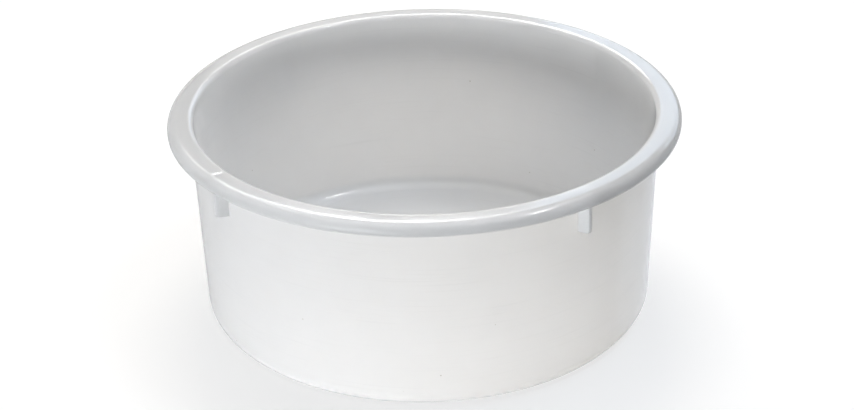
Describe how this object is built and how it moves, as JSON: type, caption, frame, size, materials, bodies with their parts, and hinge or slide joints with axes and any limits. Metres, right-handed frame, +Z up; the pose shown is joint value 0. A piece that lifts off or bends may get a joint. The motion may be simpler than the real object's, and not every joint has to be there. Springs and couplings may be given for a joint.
{
  "type": "dough tub",
  "caption": "Round straight-sided white plastic tub with a flat rolled rim, thin gusset ribs under the rim and a rounded base, for holding and proving dough.",
  "frame": {"origin": "centre of the standing ring under the tub, level with the table it stands on", "axes": "+Z up along the tub's axis; the picture looks along +Y from the -Y side, with +X to the right"},
  "size_m": [0.4, 0.4, 0.166],
  "materials": {
    "tub_plastic": "white food-grade polyethylene, satin to glossy as moulded, slightly translucent"
  },
  "bodies": {
    "root": {"floor_panel": "tub_plastic", "base_corner": "tub_plastic", "side_wall": "tub_plastic", "rim_flange": "tub_plastic", "rolled_lip": "tub_plastic", "rim_gusset_1": "tub_plastic", "rim_gusset_2": "tub_plastic", "rim_gusset_3": "tub_plastic", "rim_gusset_4": "tub_plastic"}
  },
  "joints": []
}
